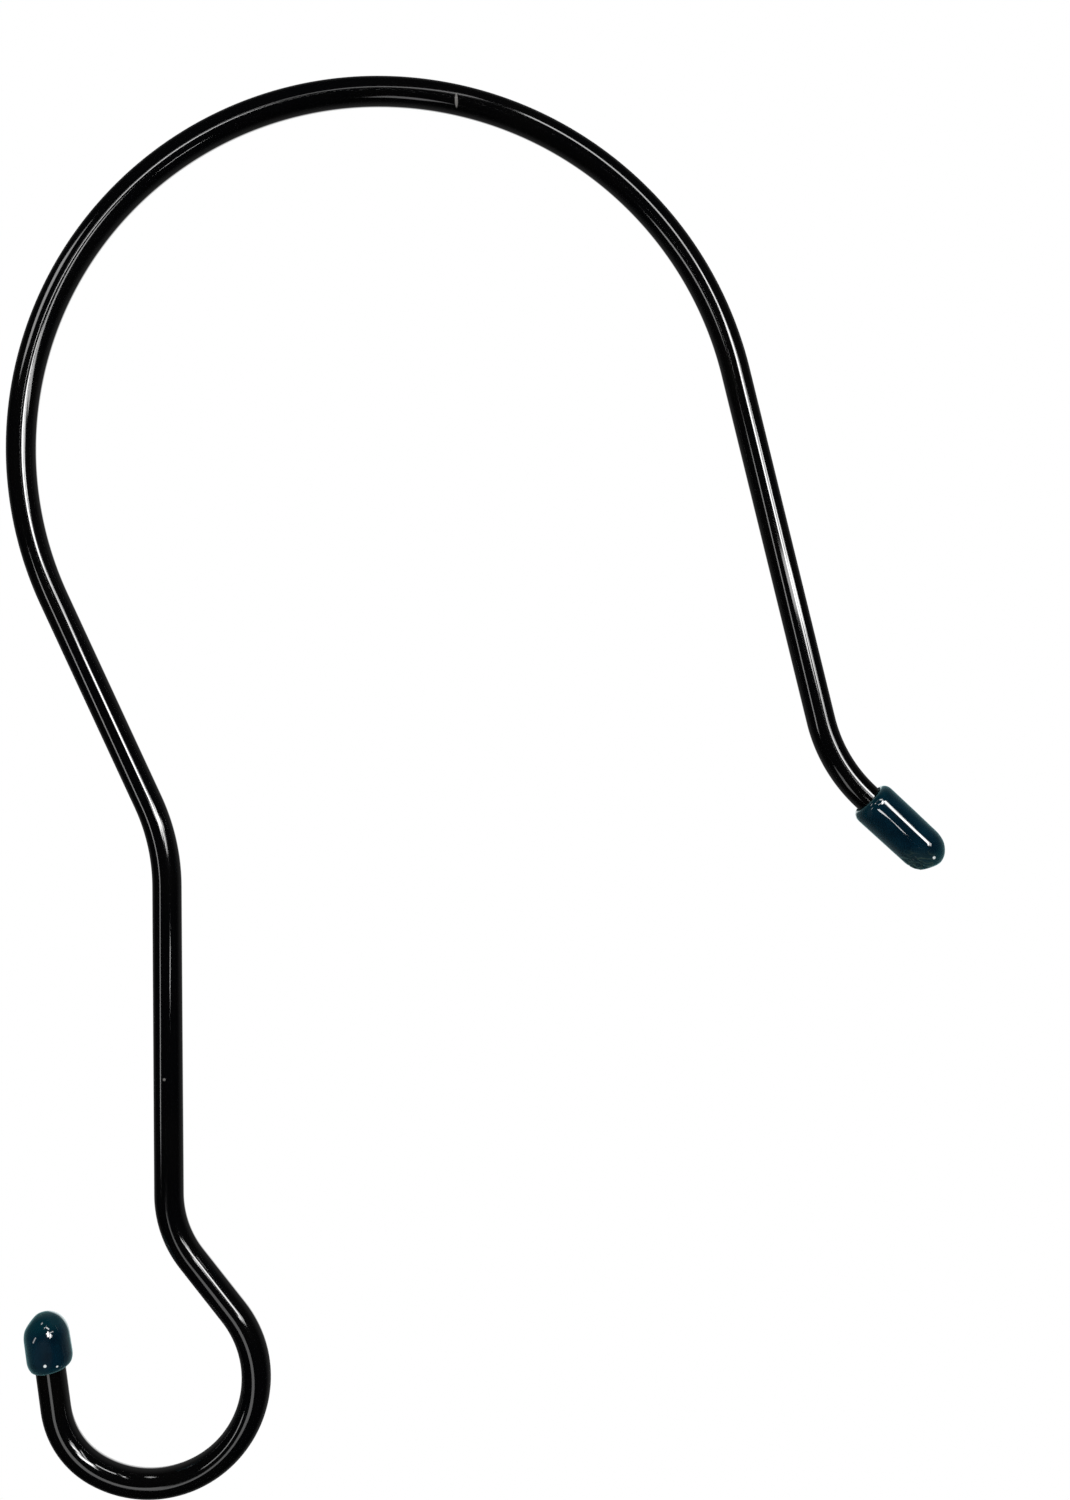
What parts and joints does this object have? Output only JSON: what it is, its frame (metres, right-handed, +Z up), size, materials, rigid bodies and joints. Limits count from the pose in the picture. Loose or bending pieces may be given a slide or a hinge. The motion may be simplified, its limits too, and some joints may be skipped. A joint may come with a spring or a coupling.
{
  "type": "tree branch hook",
  "caption": "Bent steel rod hook: a wide arch drops over a tree branch, and a small bowl at the foot of the shank carries a planter, feeder or lantern. Soft caps on both ends.",
  "frame": {"origin": "inside top of the arch, on the underside of the rod, where the branch carries the hook", "axes": "+Z up along the hook's height, +X from the shank towards the open end of the arch, +Y through the hook's flat plane, along the branch"},
  "size_m": [0.2054, 0.0102, 0.3114],
  "materials": {
    "rod_coating": "gloss black powder coat on a steel rod",
    "branch_cap_vinyl": "glossy dip-moulded vinyl, very dark teal",
    "hanger_cap_vinyl": "glossy dip-moulded vinyl, very dark teal"
  },
  "bodies": {
    "root": {"hook_rod": "rod_coating", "branch_end_cap": "branch_cap_vinyl", "hanger_end_cap": "hanger_cap_vinyl"}
  },
  "joints": []
}
